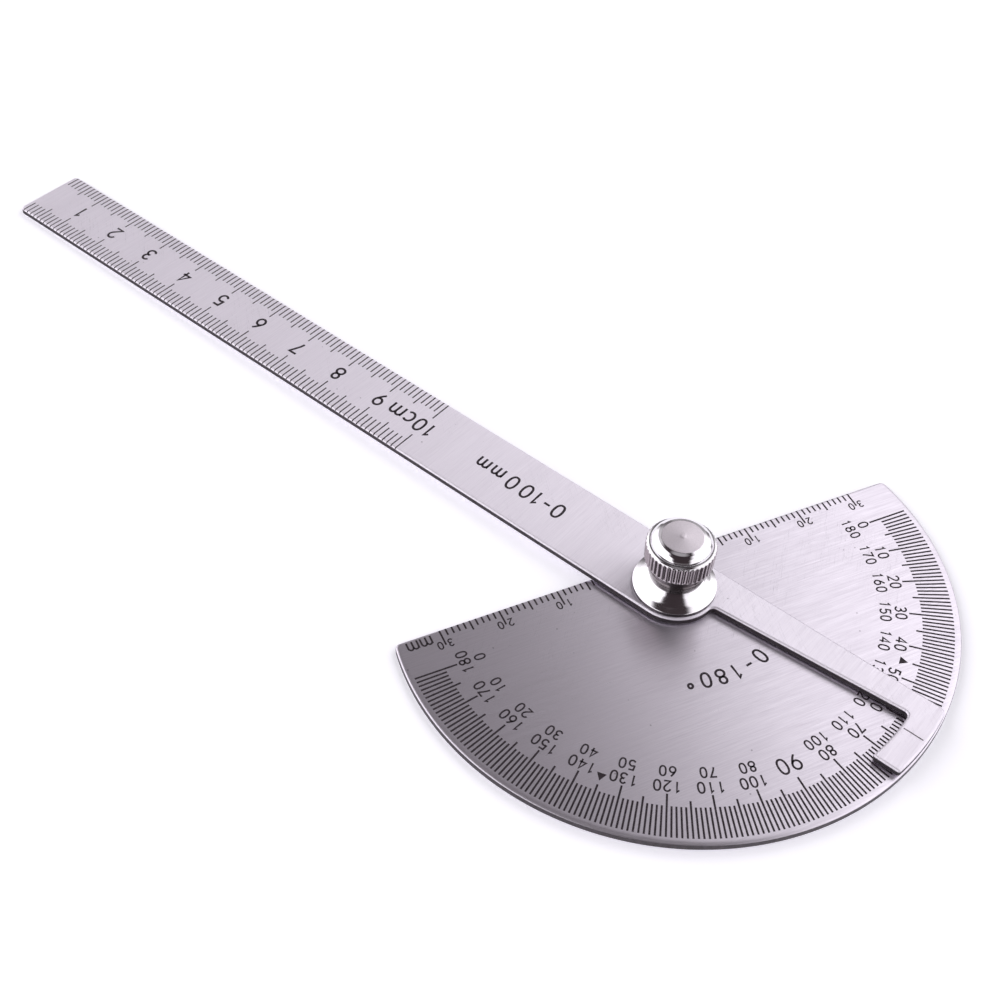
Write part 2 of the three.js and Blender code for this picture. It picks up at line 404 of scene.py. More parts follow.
# ---- materials --------------------------------------------------------------
class Nodes:
    """Node tree of a material or world. Inputs are values or output sockets."""

    def __init__(self, owner, output="ShaderNodeOutputMaterial"):
        owner.use_nodes = True
        self.owner, self.tree = owner, owner.node_tree
        self.tree.nodes.clear()
        self.out = self.add(output)

    def add(self, kind, inputs=None, **props):
        node = self.tree.nodes.new(kind)
        for key, value in props.items():
            setattr(node, key, value)
        for key, value in (inputs or {}).items():
            if isinstance(value, bpy.types.NodeSocket):
                self.tree.links.new(value, node.inputs[key])
            else:
                node.inputs[key].default_value = value
        return node

    def output(self, shader):
        self.tree.links.new(shader.outputs[0], self.out.inputs["Surface"])

    def math(self, operation, a, b=0.0):
        return self.add("ShaderNodeMath", {0: a, 1: b}, operation=operation).outputs[0]

    def multiply(self, value, *factors):
        for factor in factors:
            value = self.math("MULTIPLY", value, factor)
        return value

    def noise(self, vector, detail, rough):
        return self.add("ShaderNodeTexNoise", {
            "Scale": 1.0, "Detail": detail, "Roughness": rough, "Vector": vector}).outputs["Fac"]

    def spread(self, value, low, high, to=(0.0, 1.0), smooth=False):
        """Maps low..high on to the range to, clamped."""
        kind = "SMOOTHSTEP" if smooth else "LINEAR"
        return self.add("ShaderNodeMapRange", {
            "Value": value, "From Min": low, "From Max": high, "To Min": to[0], "To Max": to[1],
        }, clamp=True, interpolation_type=kind).outputs["Result"]

    def mix(self, factor, a, b, blend="MIX"):
        a, b = (c if isinstance(c, bpy.types.NodeSocket) else (*c, 1) for c in (a, b))
        return self.add("ShaderNodeMix", {"Factor": factor, "A": a, "B": b},
                        data_type="RGBA", blend_type=blend).outputs["Result"]

    def grain(self, angle, along, across):
        """Object coordinates turned so that x runs along the grain, then
        scaled: along and across are features per millimetre."""
        place = self.add("ShaderNodeTexCoord").outputs["Object"]
        turned = self.add("ShaderNodeMapping", {"Rotation": (0, 0, -angle), "Vector": place})
        scale = (along * 1000, across * 1000, across * 1000)
        return self.add("ShaderNodeMapping", {
            "Scale": scale, "Vector": turned.outputs["Vector"]}).outputs["Vector"]

    def walls(self, low, high):
        """1 where the surface is steep, 0 where it lies flat; low and high are
        upward parts of the normal."""
        normal = self.add("ShaderNodeNewGeometry").outputs["Normal"]
        parts = self.add("ShaderNodeSeparateXYZ", {0: normal})
        return self.spread(self.math("ABSOLUTE", parts.outputs[2]), low, high, to=(1.0, 0.0))

    def finish(self, colour, metallic, rough, height, bump, bump_depth, **more):
        """Principled surface with a bump; returns the material. more holds
        further inputs, with _ for a space."""
        bumped = self.add("ShaderNodeBump", {
            "Strength": bump, "Distance": bump_depth * MM, "Height": height})
        self.output(self.add("ShaderNodeBsdfPrincipled", {
            "Base Color": colour, "Metallic": metallic, "Roughness": rough,
            "Normal": bumped.outputs["Normal"],
            **{key.replace("_", " "): value for key, value in more.items()}}))
        return self.owner


def material_nodes(name):
    return Nodes(bpy.data.materials.new(name))


def brushed(name, grain_angle, light, dark, rough, aniso, wall_range=(0.12, 0.42)):
    """Brushed stainless sheet: fine streaks along the grain, broader bands, a
    few stray scratches and specks, and duller sheared walls, darkened by
    painted shade for their dark reflections and contact shadow."""
    m = material_nodes(name)
    fine = m.noise(m.grain(grain_angle, along=0.22, across=13.0), detail=3, rough=0.7)
    medium = m.noise(m.grain(grain_angle, along=0.1, across=3.2), detail=3, rough=0.6)
    blotch = m.noise(m.grain(grain_angle, along=0.05, across=0.22), detail=2, rough=0.5)
    streak = m.math("ADD", m.multiply(fine, 0.68), m.multiply(medium, 0.32))
    # stray scratches: thin contour lines of a noise, kept only in places
    cells = m.noise(m.grain(grain_angle + 0.9, along=0.02, across=0.9), detail=4, rough=0.75)
    off_centre = m.math("ABSOLUTE", m.math("SUBTRACT", cells, 0.5))
    scratch = m.spread(off_centre, low=0.0, high=0.0035, to=(1.0, 0.0))
    places = m.noise(m.grain(0.4, along=0.05, across=0.05), detail=2, rough=0.5)
    scratch = m.multiply(scratch, m.spread(places, low=0.5, high=0.6))
    # specks of dirt and tiny pits
    cells = m.add("ShaderNodeTexVoronoi", {
        "Scale": 0.3, "Vector": m.grain(0.0, along=1.0, across=1.0)}, feature="F1")
    speck = m.spread(cells.outputs["Distance"], low=0.03, high=0.055, to=(1.0, 0.0))
    # tone
    colour = m.mix(m.spread(streak, low=0.3, high=0.7), dark, light)
    colour = m.mix(m.spread(blotch, low=0.3, high=0.7, to=(0.0, 0.06)), colour, (0.45, 0.42, 0.46))
    colour = m.mix(m.multiply(scratch, 0.5), colour, (0.28, 0.26, 0.29))
    colour = m.mix(m.multiply(speck, 0.5), colour, (0.16, 0.14, 0.16))
    # sheared walls: duller, and darkened by painted shade for dark reflections and contact shadow
    wall = m.walls(*wall_range)
    torn = m.noise(m.grain(0.0, along=1.4, across=1.4), detail=4, rough=0.7)
    torn = m.spread(torn, low=0.3, high=0.7, to=(0.7, 1.25))
    colour = m.mix(wall, colour, m.mix(1.0, (0.085, 0.075, 0.082), torn, "MULTIPLY"))
    roughness = m.spread(streak, low=0.3, high=0.7, to=(rough * 1.22, rough * 0.8))
    across_grain = m.add("ShaderNodeVectorTransform", {
        "Vector": (-math.sin(grain_angle), math.cos(grain_angle), 0),
    }, vector_type="VECTOR", convert_from="OBJECT", convert_to="WORLD")
    return m.finish(
        colour, metallic=1.0, rough=m.math("ADD", roughness, m.multiply(wall, 0.14)),
        height=m.math("SUBTRACT", streak, m.multiply(scratch, 0.4)), bump=0.16, bump_depth=0.02,
        Anisotropic=m.multiply(m.math("SUBTRACT", 1.0, wall), aniso),
        Tangent=across_grain.outputs["Vector"])


def plated(name, base, rough, bump=0.03, shade=0.0, reach=2.5, dull_shaded_wall=False,
           bands=(), face=None):
    """Bright plating: nearly a mirror, with a slight haze and faint polishing
    marks. shade is painted shade darkening recesses, found by ambient occlusion
    within reach; the wall flag darkens steep walls with painted shade and dulls
    them. bands are rings of painted shade and painted dark reflection, each
    (low z, high z, softness, colour, added roughness); face is (z, radius,
    colour, added roughness) of a satin end face."""
    m = material_nodes(name)
    haze = m.noise(m.grain(0.3, along=0.5, across=0.5), detail=4, rough=0.6)
    grit_place = m.grain(0.0, along=6.0, across=6.0)
    grit = m.noise(grit_place, detail=3, rough=0.6)
    colour = m.mix(m.spread(haze, low=0.3, high=0.75), base, tuple(c * 0.9 for c in base))
    # painted shade: recesses found by ambient occlusion are darkened
    if shade:
        recess = m.add("ShaderNodeAmbientOcclusion", {"Distance": reach * MM}, samples=8)
        painted_recess_shade = m.spread(recess.outputs["AO"], low=0.35, high=0.9, to=(shade, 0.0))
        colour = m.mix(painted_recess_shade, colour, (0.07, 0.06, 0.065))
    roughness = m.spread(grit, low=0.35, high=0.75, to=(rough, rough * 2.2))
    # painted shade on steep walls, with added roughness for duller metal
    if dull_shaded_wall:
        wall = m.walls(0.2, 0.5)
        colour = m.mix(wall, colour, (0.1, 0.09, 0.095))
        roughness = m.math("ADD", roughness, m.multiply(wall, 0.2))
    if bands or face:
        place = m.add("ShaderNodeTexCoord").outputs["Object"]
        x, y, z = m.add("ShaderNodeSeparateXYZ", {0: place}).outputs
    # rings of painted shade and painted dark reflection
    for low, high, soft, tone, added_rough in bands:
        inside = m.multiply(
            m.spread(z, (low - soft) * MM, (low + soft) * MM),
            m.spread(z, (high - soft) * MM, (high + soft) * MM, to=(1.0, 0.0)),
            m.spread(haze, low=0.25, high=0.6, to=(0.75, 1.0)))
        colour = m.mix(inside, colour, tone)
        roughness = m.math("ADD", roughness, m.multiply(inside, added_rough))
    if face:
        face_z, face_r, tone, added_rough = face
        soft = 0.05
        flat = m.add("ShaderNodeCombineXYZ", {0: x, 1: y}).outputs[0]
        radius = m.add("ShaderNodeVectorMath", {0: flat}, operation="LENGTH").outputs["Value"]
        inside = m.multiply(
            m.spread(radius, (face_r - soft) * MM, (face_r + soft) * MM, to=(1.0, 0.0)),
            m.spread(z, (face_z - soft) * MM, face_z * MM))
        satin = m.spread(m.noise(grit_place, detail=2, rough=0.7), low=0.35, high=0.65)
        colour = m.mix(inside, colour, m.mix(satin, tone, tuple(c * 0.9 for c in tone)))
        roughness = m.math("ADD", roughness, m.multiply(inside, added_rough))
    return m.finish(colour, metallic=1.0, rough=roughness, height=haze, bump=bump,
                    bump_depth=0.03)


def ink(name, colour):
    """Etched and blackened marks: dark, matt, a little broken up by the grain."""
    m = material_nodes(name)
    worn = m.noise(m.grain(0.0, along=0.8, across=4.0), detail=3, rough=0.7)
    paler = tuple(c * 2.8 + 0.03 for c in colour)
    tone = m.mix(m.spread(worn, low=0.5, high=0.8, to=(0.0, 0.6)), colour, paler)
    return m.finish(tone, metallic=0.0, rough=m.spread(worn, low=0.3, high=0.7, to=(0.62, 0.42)),
                    height=worn, bump=0.2, bump_depth=0.01, Specular_IOR_Level=0.3)


# on the plate the painted wall shade reaches up the rolled rim: a painted dark line along its foot
PLATE_MAT = brushed("plate_brushed", grain_angle=0.0, light=(0.84, 0.80, 0.86),
                    dark=(0.66, 0.62, 0.68), rough=0.33, aniso=0.75, wall_range=(0.5, 0.93))
ARM_MAT = brushed("arm_brushed", grain_angle=ARM_ANGLE + math.pi / 2, light=(0.96, 0.92, 0.98),
                  dark=(0.84, 0.80, 0.86), rough=0.5, aniso=0.8)
SHIM_MAT = brushed("shim_rolled", grain_angle=0.7, light=(0.42, 0.40, 0.42),
                   dark=(0.30, 0.29, 0.30), rough=0.45, aniso=0.3)
STUD_MAT = plated("stud_turned", base=(0.66, 0.64, 0.66), rough=0.22, bump=0.08)
# the washer gets painted shade in its recesses and on its steep walls
WASHER_MAT = plated("washer_plated", base=(0.90, 0.88, 0.90), rough=0.07, shade=0.5, reach=1.2,
                    dull_shaded_wall=True)
# the nut gets painted shade in its recesses and in rings round it
NUT_MAT = plated(
    "nut_plated", base=(0.88, 0.86, 0.88), rough=0.06, shade=0.85,
    bands=(  # rings of painted shade and painted dark reflection: below the knurl, on the knurl itself, in the groove over it
        (0.0, KNURL_LO - 0.02, 0.04, (0.11, 0.092, 0.095), 0.08),
        (KNURL_LO + 0.1, KNURL_HI - 0.08, 0.08, (0.40, 0.365, 0.37), 0.04),
        (KNURL_HI + 0.18, KNURL_HI + 0.34, 0.05, (0.05, 0.045, 0.045), 0.2)),
    face=(NUT_TOP - 0.25, 3.26, (0.78, 0.73, 0.765), 0.32))
INK_MAT = ink("etched_black", (0.02, 0.013, 0.018))
INDEX_MAT = ink("etched_grey", (0.1, 0.085, 0.095))


# ---- dial plate -------------------------------------------------------------
CORNER_Y = EDGE_Y - PLATE_CORNER_R
CORNER_X = math.sqrt((PLATE_R - PLATE_CORNER_R) ** 2 - CORNER_Y ** 2)


def plate_outline():
    """Anticlockwise: round rim, +X corner, straight edge, -X corner."""
    angle = math.atan2(CORNER_Y, CORNER_X)
    return join_points(
        arc(0, 0, PLATE_R, math.pi - angle, 2 * math.pi + angle, 260),
        arc(CORNER_X, CORNER_Y, PLATE_CORNER_R, angle, math.pi / 2, 9),
        [(CORNER_X + (-2 * CORNER_X) * k / 90, EDGE_Y) for k in range(91)],
        arc(-CORNER_X, CORNER_Y, PLATE_CORNER_R, math.pi / 2, math.pi - angle, 9))


def rollover(y):
    """Width and depth of the top rounding, blended round the corners."""
    k = clamp((y - CORNER_Y) / PLATE_CORNER_R)
    k = k * k * (3 - 2 * k)
    return RIM_W + (EDGE_W - RIM_W) * k, RIM_D + (EDGE_D - RIM_D) * k


def build_plate():
    outline = plate_outline()
    widths, depths = zip(*(rollover(y) for _, y in outline))
    verts, faces, normals = sheet_solid(
        outline, circle(PLATE_HOLE_R, 72), 0.0, PLATE_TOP, widths, depths,
        low_r=0.12, steps=9, power=RIM_POWER)
    # countersink: open the hole's wall out towards the underside
    widening = HEAD_R + 0.05 - PLATE_HOLE_R
    for i, (x, y, z) in enumerate(verts):
        r = math.hypot(x, y)
        if r >= PLATE_HOLE_R + 0.5:
            continue
        if abs(normals[i][2]) < 0.9:
            down = -0.9 if z < 0.85 else 0
            normals[i] = tuple(Vector((-x / r, -y / r, down)).normalized())
        scale = (r + widening * clamp((SINK_DEPTH - z) / SINK_DEPTH)) / r
        verts[i] = (x * scale, y * scale, z)
    make("plate_sheet", verts, faces, PLATE_MAT, "plate", "dial_plate",
         normals=normals)


def on_plate(x, y):
    """Top surface of the plate: flat, with the rounding of the straight edge."""
    flat_y = EDGE_Y - EDGE_W
    if y <= flat_y:
        return (x, y, PLATE_TOP), (0, 0, 1)
    c = min(1.0, (y - flat_y) / EDGE_W)
    s = (1 - c ** RIM_POWER) ** (1 / RIM_POWER)
    slope = (0, c ** (RIM_POWER - 1) / EDGE_W, s ** (RIM_POWER - 1) / EDGE_D)
    return (x, flat_y + EDGE_W * c, PLATE_TOP - EDGE_D + EDGE_D * s), Vector(slope).normalized()


def spoke(degrees):
    """Unit vector from the pivot to that mark of the dial, which starts at +X
    and runs by way of -Y."""
    t = math.radians(degrees)
    return math.cos(t), -math.sin(t)


def dial_marks(marks):
    for d in range(181):
        x, y = spoke(d)
        inner, outer = graded(d, ten=36.9, five=37.85, one=38.85), 43.75
        marks.ribbon([(x * inner, y * inner), (x * outer, y * outer)], width=0.3)
    # figures with their tops outwards: two rows, counting either way, and one 90
    for d in range(0, 181, 10):
        # (figures, radius of the row, height, stroke, pitch)
        rows = [(str(d), 35.65, 1.68, 0.28, 1.43), (str(180 - d), 33.2, 1.6, 0.27, 1.4)]
        if d == 90:
            rows = [("90", 34.6, 2.45, 0.33, 2.1)]
        up = spoke(d)
        for figures, radius, height, stroke, pitch in rows:
            marks.text(figures, up[0] * radius, up[1] * radius, up, height, stroke, pitch)
    # triangles pointing outwards at 45 and 135
    tip_r, base_r, half_base = 37.2, 35.9, 0.74
    for d in (45, 135):
        x, y = spoke(d)
        marks.patch([(x * tip_r, y * tip_r),
                     (x * base_r - y * half_base, y * base_r + x * half_base),
                     (x * base_r + y * half_base, y * base_r - x * half_base)])


def edge_marks(marks):
    """Millimetre scales from 7 mm each side of the pivot; their figures have
    their tops away from the straight edge."""
    scale_start = 7
    up = (0, -1)
    rounded = [EDGE_Y - EDGE_W + EDGE_W * math.sin(math.radians(a)) for a in EDGE_ANGLES]
    for side in (-1, 1):
        for k in range(31):
            x = side * (scale_start + k)
            length = graded(k, ten=3.0, five=1.95, one=1.4)
            marks.ribbon([(x, y) for y in [EDGE_Y - length] + rounded], width=0.29)
        for k in (10, 20, 30):
            marks.text(str(k), side * (scale_start + k), 4.15, up, height=1.3, stroke=0.23,
                       pitch=1.7)
    marks.text("mm", -40.65, 5.4, up, height=2.3, stroke=0.3, pitch=2.2)


def range_marks(marks):
    """The range of the dial, in figures on an arc between the pivot and the rows."""
    radius, step = 17.5, 8.2
    for i, char in enumerate("0-180o"):
        up = spoke(90 + (i - 2.5) * step)
        marks.text(char, up[0] * radius, up[1] * radius, up, height=2.5, stroke=0.38)


build_plate()
plate_marks = Marks(on_plate)
dial_marks(plate_marks)
edge_marks(plate_marks)
range_marks(plate_marks)
make("plate_marks", plate_marks.verts, plate_marks.faces, INK_MAT, "plate",
     sharp=30)


# ---- rule arm ---------------------------------------------------------------
ALONG = (math.cos(ARM_ANGLE), math.sin(ARM_ANGLE))       # s axis
ACROSS = (-math.sin(ARM_ANGLE), math.cos(ARM_ANGLE))     # v axis


def turn_arm(s, v):
    """From the arm's frame to the plate's."""
    return s * ALONG[0] + v * ACROSS[0], s * ALONG[1] + v * ACROSS[1]


def corner_centre(v, distance):
    """Angle off the -s axis, and s, of a point that far from the pivot."""
    angle = math.asin(v / distance)
    return angle, -distance * math.cos(angle)


def arm_outline():
    """Anticlockwise (s, v) loop: tip, +v side, boss, link, hook, -v side."""
    half_w = ARM_HALF_W
    # the link's +v edge: its start at the boss, direction and normal
    start_s, start_v = -half_w, LINK_V_BOSS
    ds, dv = -HOOK_INNER_R - start_s, LINK_V_HOOK - start_v
    length = math.hypot(ds, dv)
    ds, dv = ds / length, dv / length
    ns, nv = dv, -ds

    def fillet_centre(radius, distance):
        """Centre that far from the pivot of a fillet touching the link's edge."""
        s, v = start_s + ns * radius, start_v + nv * radius
        b = s * ds + v * dv
        t = -b + math.sqrt(b * b - (s * s + v * v) + distance * distance)
        return s + ds * t, v + dv * t

    boss_s, boss_v = fillet_centre(BOSS_FILLET, half_w + BOSS_FILLET)
    hook_s, hook_v = fillet_centre(HOOK_FILLET, HOOK_INNER_R - HOOK_FILLET)
    boss_angle, hook_angle = math.atan2(boss_v, boss_s), math.atan2(hook_v, hook_s)
    link_angle = math.atan2(-nv, -ns)
    corner_v, end_v = half_w - HOOK_CORNER_R, half_w - HOOK_END_R
    corner_angle, corner_s = corner_centre(corner_v, HOOK_OUTER_R - HOOK_CORNER_R)
    inner_angle, inner_s = corner_centre(end_v, HOOK_INNER_R + HOOK_END_R)
    outer_angle, outer_s = corner_centre(end_v, HOOK_OUTER_R - HOOK_END_R)
    tip_s, tip_v = ARM_TIP - TIP_CORNER_R, half_w - TIP_CORNER_R
    right, straight = math.pi / 2, math.pi
    corners = join_points(
        arc(tip_s, -tip_v, TIP_CORNER_R, -right, 0, 8),
        arc(tip_s, tip_v, TIP_CORNER_R, 0, right, 8),
        arc(0, 0, half_w, right, boss_angle, 60),
        arc(boss_s, boss_v, BOSS_FILLET, math.atan2(-boss_v, -boss_s), link_angle, 8),
        arc(hook_s, hook_v, HOOK_FILLET, link_angle, hook_angle, 8),
        arc(0, 0, HOOK_INNER_R, hook_angle + 2 * math.pi, straight - inner_angle, 24),
        arc(inner_s, end_v, HOOK_END_R, -inner_angle, right, 4),
        arc(outer_s, end_v, HOOK_END_R, right, straight - outer_angle, 4),
        arc(0, 0, HOOK_OUTER_R, straight - outer_angle, straight + corner_angle, 40),
        arc(corner_s, -corner_v, HOOK_CORNER_R, straight + corner_angle, 1.5 * math.pi, 8))
    # long straight runs are divided into pieces of 6 mm or a little more
    points = []
    for p, q in zip(corners, corners[1:] + corners[:1]):
        pieces = max(1, int(math.dist(p, q) / 6))
        points += [(p[0] + (q[0] - p[0]) * k / pieces, p[1] + (q[1] - p[1]) * k / pieces)
                   for k in range(pieces)]
    return points


def build_arm():
    outline = [turn_arm(s, v) for s, v in arm_outline()]
    count = len(outline)
    verts, faces, normals = sheet_solid(
        outline, circle(ARM_BORE_R, 72), ARM_Z, ARM_TOP,
        [ARM_EDGE_W] * count, [ARM_EDGE_D] * count, low_r=0.15)
    make("arm_blade", verts, faces, ARM_MAT, "arm", "rule_arm", normals=normals)


FLAT_V = ARM_HALF_W - ARM_EDGE_W         # where the rounded edges start


def on_arm(s, v):
    """Top of the arm at (s, v), following the rounded long edges."""
    x, y = turn_arm(s, v)
    if abs(v) <= FLAT_V:
        return (x, y, ARM_TOP), (0, 0, 1)
    cosine = (abs(v) - FLAT_V) / ARM_EDGE_W
    sine = math.sqrt(1 - cosine * cosine)
    _, nv, nz = Vector((0, math.copysign(cosine / ARM_EDGE_W, v), sine / ARM_EDGE_D)).normalized()
    return (x, y, ARM_TOP - ARM_EDGE_D + ARM_EDGE_D * sine), (ACROSS[0] * nv, ACROSS[1] * nv, nz)


def rule_marks(marks):
    """Ticks on both long edges, counting from the tip, and figures that read
    towards it with their tops to +v."""
    zero_s = 152.8
    last_s = zero_s - 100
    up = (0, 1)
    rounded = [FLAT_V + ARM_EDGE_W * math.sin(math.radians(a)) for a in EDGE_ANGLES[::-1]]
    for k in range(1, 101):
        length = graded(k, ten=4.4, five=3.85, one=2.95)
        for side in (-1, 1):
            marks.ribbon([(zero_s - k, side * v) for v in rounded + [ARM_HALF_W - length]],
                         width=0.235)
    for cm in range(1, 10):
        marks.text(str(cm), zero_s - 10 * cm, 0.0, up, height=2.85, stroke=0.44)
    marks.text("10", last_s - 0.45, 0.0, up, height=2.85, stroke=0.44, pitch=2.2)
    marks.text("cm", last_s + 4.65, 0.27, up, height=3.4, stroke=0.44, pitch=2.7)
    # the rule's range and unit, between the boss and the scale: (character, width)
    s = 22.0
    for char, width in (("0", 2.4), ("-", 2.2), ("1", 2.0), ("0", 2.4), ("0", 3.6),
                        ("m", 3.2), ("m", 3.0)):
        marks.text(char, s + width / 2, 0.0, up, height=2.85, stroke=0.42)
        s += width


build_arm()
arm_marks = Marks(on_arm)
rule_marks(arm_marks)
make("arm_marks", arm_marks.verts, arm_marks.faces, INK_MAT, "arm", sharp=30)
index = Marks(on_arm)
index.ribbon([(-40.75, 0), (-42.4, 0), (-44.0, 0)], width=0.19)
make("arm_index_line", index.verts, index.faces, INDEX_MAT, "arm", sharp=30)


# ---- friction shim ----------------------------------------------------------
def build_shim():
    radius = SHIM_R - SIZE_PLAY
    stations = [  # radius, z, corner radius
        (SHIM_BORE_R, SHIM_Z + 0.12, 0),
        (SHIM_BORE_R, SHIM_Z, 0.04),
        (radius, SHIM_Z, 0.05),
        (radius, SHIM_TOP, 0.05),
        (SHIM_BORE_R, SHIM_TOP, 0.04),
        (SHIM_BORE_R, SHIM_Z + 0.13, 0),
    ]
    verts, faces = lathe(round_corners(stations, steps=3), segments=96)
    make("shim_ring", verts, faces, SHIM_MAT, "plate", "friction_shim", sharp=40)


# ---- stud: flush head, shank, thread ------------------------------------------
def stud_rows():
    """(radius, z, share of the thread's depth), upward."""
    rows = [(r, 0.0, 0) for r in (0.0, 0.8, 1.6, 2.4, 3.0, 3.3)]
    rows += [
        (HEAD_R - 0.06, 0.0, 0), (HEAD_R - 0.03, 0.03, 0), (3.2, 0.34, 0), (2.8, 0.6, 0),
        (2.4, 0.78, 0), (2.06, 0.85, 0), (SHANK_R, 0.95, 0),
    ]
    rows += [(SHANK_R, 1.05 + 0.2 * k, 0) for k in range(9)]
    tip_z = STUD_TOP - STUD_TIP_H
    z = THREAD_Z
    while z < tip_z:
        rows.append((SHANK_R, z, min(1.0, (z - THREAD_Z) / 0.35)))
        z += THREAD_PITCH / 14
    for k in range(9):
        t = k / 8
        rows.append((SHANK_R - 0.42 * t, tip_z + STUD_TIP_H * t, 1.0 - t))
    return rows + [(r, STUD_TOP, 0) for r in (1.2, 0.7, 0.0)]


def build_stud():
    segments, depth = 96, 0.43
    verts, faces, rows = [], [], []
    for radius, z, share in stud_rows():
        def thread(i):
            phase = (z / THREAD_PITCH - i / segments) % 1.0
            crest = abs(phase - 0.5) * 2     # 1 at the crest, 0 at the root
            return depth * clamp((0.86 - crest) / 0.66) * share
        rows.append(add_row(verts, radius, z, segments, thread))
    for low, high in zip(rows, rows[1:]):
        skin(faces, low, high)
    make("stud_threaded", verts, faces, STUD_MAT, "plate", "pivot_stud", sharp=35)


# ---- cup washer ---------------------------------------------------------------
def build_washer():
    z, top, radius, bore_r = WASHER_Z, WASHER_TOP, WASHER_R - SIZE_PLAY, 2.2
    stations = [  # radius, z, corner radius
        (bore_r, top - 1.0, 0),
        (4.9, z + 0.55, 0.3),
        (5.25, z, 0.1),
        (radius, z, 0.1),
        (radius, z + 0.68, 0.14),
        (5.6, z + 1.22, 3.0),
        (4.62, z + 1.94, 3.0),
        (3.9, top, 0.25),
        (bore_r, top, 0.1),
        (bore_r, top - 0.98, 0),
    ]
    verts, faces = lathe(round_corners(stations, steps=8), segments=160)
    make("washer_cup", verts, faces, WASHER_MAT, "washer", "cup_washer",
         sharp=50)


# ---- clamp nut ------------------------------------------------------------------
def nut_rows():
    """Outside of the nut as (radius, z, share of the knurl's depth), upward."""
    foot = [  # radius, z, corner radius
        (2.3, NUT_Z, 0),
        (4.2, NUT_Z, 0.16),
        (4.52, 6.6, 1.2),
        (4.7, 7.65, 1.2),
        (4.75, KNURL_LO - 0.12, 0.1),
        (4.78, KNURL_LO, 0.06),
        (5.2, KNURL_LO, 0.05),
        (5.21, KNURL_LO + 0.1, 0),
    ]
    # the last foot station only steers the corner before it
    rows = [(r, z, 0) for r, z in round_corners(foot, steps=5)[:-1]]
    rows.append((5.22, KNURL_LO + 0.02, 0))
    # the ribs widen a little upward, with a small chamfer at both ends
    height, margin, chamfer, steps = KNURL_HI - KNURL_LO, 0.03, 0.16, 26
    for k in range(steps + 1):
        t = k / steps
        to_end = min(t, 1 - t) * height
        cut = chamfer * max(0.0, 1 - to_end / chamfer) ** 2
        rows.append((5.4 + 0.09 * t - cut, KNURL_LO + margin + (height - 2 * margin) * t,
                     clamp(to_end / 0.22) ** 0.6))
    face = NUT_TOP - 0.26
    crown = [  # radius, z, corner radius
        (5.3, KNURL_HI - 0.02, 0),
        (5.28, KNURL_HI + 0.06, 0.06),
        (4.98, KNURL_HI + 0.2, 0.05),
        (4.84, KNURL_HI + 0.24, 0.05),
        (4.84, KNURL_HI + 0.36, 0.12),
        (4.66, KNURL_HI + 0.7, 0.5),
        (4.27, KNURL_HI + 1.07, 0.9),
        (3.78, KNURL_HI + 1.37, 0.9),
        (3.3, face, 0.1),
        (3.16, face + 0.03, 0.1),
        (0.55, NUT_TOP - 0.06, 0.3),
        (0.3, NUT_TOP - 0.02, 0.2),
        (0.0, NUT_TOP, 0),
    ]
    return rows + [(r, z, 0) for r, z in round_corners(crown, steps=6)]


def build_nut():
    segments, depth = RIBS * STEPS_PER_RIB, 0.24
    verts, faces, outside = [], [], []
    for radius, z, share in nut_rows():
        def knurl(i):
            groove = abs((i % STEPS_PER_RIB) / STEPS_PER_RIB - 0.5) * 2   # 1 in it, 0 at the crest
            return depth * share * max(0.0, (groove - 0.3) / 0.7) ** 1.1
        outside.append(add_row(verts, radius, z, segments, knurl))
    # blind bore: radius, z
    bore = [(2.06, NUT_Z + 0.24), (2.06, 8.0), (2.06, 11.2), (2.06, 11.75), (1.2, 12.1),
            (0.0, 12.35)]
    inside = [add_row(verts, r, z, segments) for r, z in bore]
    for low, high in zip(outside, outside[1:]):
        skin(faces, low, high)
    for low, high in zip(inside, inside[1:]):
        skin(faces, low, high, flip=True)
    skin(faces, inside[0], outside[0])
    make("nut_knurled", verts, faces, NUT_MAT, "nut", "clamp_nut", sharp=65)


build_shim()
build_stud()
build_washer()
build_nut()


# ---- table --------------------------------------------------------------------
# The instrument stands on the tip of the rule and the straight edge of the
# plate, so the table is tilted a little under the frame's axes.
TABLE_HALF = 2000.0
TABLE_TILT = math.radians(0.64)
TABLE_GAP = 0.03                         # below the straight edge
TABLE_GLOW = 0.3                         # keeps the table white round the soft shadows


def table_material():
    m = material_nodes("table_white")
    cloud = m.noise(m.grain(0.0, along=0.02, across=0.02), detail=2, rough=0.5)
    factor = m.spread(cloud, low=0.3, high=0.7, to=(0.0, 0.3))
    m.output(m.add("ShaderNodeBsdfPrincipled", {
        "Base Color": m.mix(factor, (0.93, 0.93, 0.95), (0.90, 0.90, 0.93)),
        "Roughness": 0.85, "Specular IOR Level": 0.1,
        "Emission Color": (0.95, 0.95, 1.0, 1), "Emission Strength": TABLE_GLOW}))
    return m.owner


def build_table():
    mesh = bpy.data.meshes.new("table")
    ends = (-TABLE_HALF, TABLE_HALF)
    verts = [(x * MM, y * MM, ((y - EDGE_Y) * math.tan(TABLE_TILT) - TABLE_GAP) * MM)
             for y in ends for x in ends]
    mesh.from_pydata(verts, [], [(0, 1, 3, 2)])
    ob = bpy.data.objects.new("table", mesh)
    bpy.context.scene.collection.objects.link(ob)
    mesh.materials.append(table_material())


build_table()


# ---- world --------------------------------------------------------------------
# Strengths of the panels
RIGHT_K, FRONT_K, LEFT_K = 1.5, 1.2, 1.7     # at +X, at the camera's right and left hand
BACK_K, LOW_K = 0.13, 0.54                   # backdrop, and its lower part
STRIP_K, DOOR_K = 1.25, 0.75                 # bright strip; share the doorway takes away
TOP_K, NEAR_K = 0.34, 0.1                    # overhead, and low all round
TINT = (0.985, 0.965, 1.01)
AMBIENT = (0.042, 0.032, 0.036)
# Where the side panels begin and end their fade-in, as cosines
RIGHT_FADE, SIDE_FADE = (0.3, 0.46), (0.34, 0.5)


